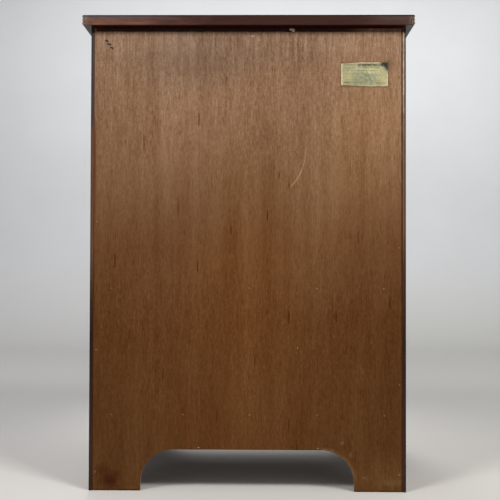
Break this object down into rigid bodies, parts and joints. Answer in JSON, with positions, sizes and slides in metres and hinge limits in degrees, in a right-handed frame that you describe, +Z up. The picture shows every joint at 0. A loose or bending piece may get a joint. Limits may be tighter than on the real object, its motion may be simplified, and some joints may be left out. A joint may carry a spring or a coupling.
{
  "type": "collection cabinet",
  "caption": "Upright wooden collector's cabinet on bracket feet, with a reeded top, a plywood back and a stack of shallow sliding drawers divided into padded cells for birds' eggs.",
  "frame": {"origin": "centre of the bounding footprint, on the floor plane under the feet", "axes": "+Z up; the drawer fronts and knobs face -Y, so drawers pull out along -Y and the plywood back faces +Y; +X is to the right of someone facing the drawers"},
  "size_m": [0.533, 0.445, 0.762],
  "materials": {
    "mahogany_top": "satin",
    "mahogany_case": "satin",
    "mahogany_fronts": "satin",
    "plywood_back": "matt",
    "case_boards": "matt",
    "beech": "satin",
    "softwood": "matt",
    "drawer_sides": "matt",
    "drawer_ply": "matt",
    "divider_wood": "matt",
    "wadding": "matt",
    "brass": "polished",
    "steel": "dull",
    "label_paper": "matt"
  },
  "bodies": {
    "case": {"back_panel": "plywood_back", "back_panel_pins": "steel", "bottom_board": "case_boards", "foot_blocks": "softwood", "front_apron": "mahogany_case", "glue_blocks": "softwood", "mid_board": "case_boards", "mid_rail": "mahogany_case", "paper_label": "label_paper", "runner_screws": "steel", "runners_left": "beech", "runners_right": "beech", "side_left": "mahogany_case", "side_right": "mahogany_case", "top_board": "mahogany_top", "top_rail_back": "case_boards", "top_rail_front": "mahogany_case", "top_screws": "steel"},
    "drawer_1": {"drawer_1_bottom": "drawer_ply", "drawer_1_box": "drawer_sides", "drawer_1_dividers": "divider_wood", "drawer_1_front": "mahogany_fronts", "drawer_1_knobs": "brass", "drawer_1_wadding": "wadding"},
    "drawer_2": {"drawer_2_bottom": "drawer_ply", "drawer_2_box": "drawer_sides", "drawer_2_dividers": "divider_wood", "drawer_2_front": "mahogany_fronts", "drawer_2_knobs": "brass", "drawer_2_wadding": "wadding"},
    "drawer_3": {"drawer_3_bottom": "drawer_ply", "drawer_3_box": "drawer_sides", "drawer_3_dividers": "divider_wood", "drawer_3_front": "mahogany_fronts", "drawer_3_knobs": "brass", "drawer_3_wadding": "wadding"},
    "drawer_4": {"drawer_4_bottom": "drawer_ply", "drawer_4_box": "drawer_sides", "drawer_4_dividers": "divider_wood", "drawer_4_front": "mahogany_fronts", "drawer_4_knobs": "brass", "drawer_4_wadding": "wadding"},
    "drawer_5": {"drawer_5_bottom": "drawer_ply", "drawer_5_box": "drawer_sides", "drawer_5_dividers": "divider_wood", "drawer_5_front": "mahogany_fronts", "drawer_5_knobs": "brass", "drawer_5_wadding": "wadding"},
    "drawer_6": {"drawer_6_bottom": "drawer_ply", "drawer_6_box": "drawer_sides", "drawer_6_dividers": "divider_wood", "drawer_6_front": "mahogany_fronts", "drawer_6_knobs": "brass", "drawer_6_wadding": "wadding"},
    "drawer_7": {"drawer_7_bottom": "drawer_ply", "drawer_7_box": "drawer_sides", "drawer_7_dividers": "divider_wood", "drawer_7_front": "mahogany_fronts", "drawer_7_knobs": "brass", "drawer_7_wadding": "wadding"}
  },
  "joints": [
    {"name": "drawer_1_slide", "type": "slide", "parent": "case", "child": "drawer_1", "axis": [0, -1, 0], "range_m": [0, 0.3]},
    {"name": "drawer_2_slide", "type": "slide", "parent": "case", "child": "drawer_2", "axis": [0, -1, 0], "range_m": [0, 0.3]},
    {"name": "drawer_3_slide", "type": "slide", "parent": "case", "child": "drawer_3", "axis": [0, -1, 0], "range_m": [0, 0.3]},
    {"name": "drawer_4_slide", "type": "slide", "parent": "case", "child": "drawer_4", "axis": [0, -1, 0], "range_m": [0, 0.3]},
    {"name": "drawer_5_slide", "type": "slide", "parent": "case", "child": "drawer_5", "axis": [0, -1, 0], "range_m": [0, 0.3]},
    {"name": "drawer_6_slide", "type": "slide", "parent": "case", "child": "drawer_6", "axis": [0, -1, 0], "range_m": [0, 0.3]},
    {"name": "drawer_7_slide", "type": "slide", "parent": "case", "child": "drawer_7", "axis": [0, -1, 0], "range_m": [0, 0.3]}
  ]
}
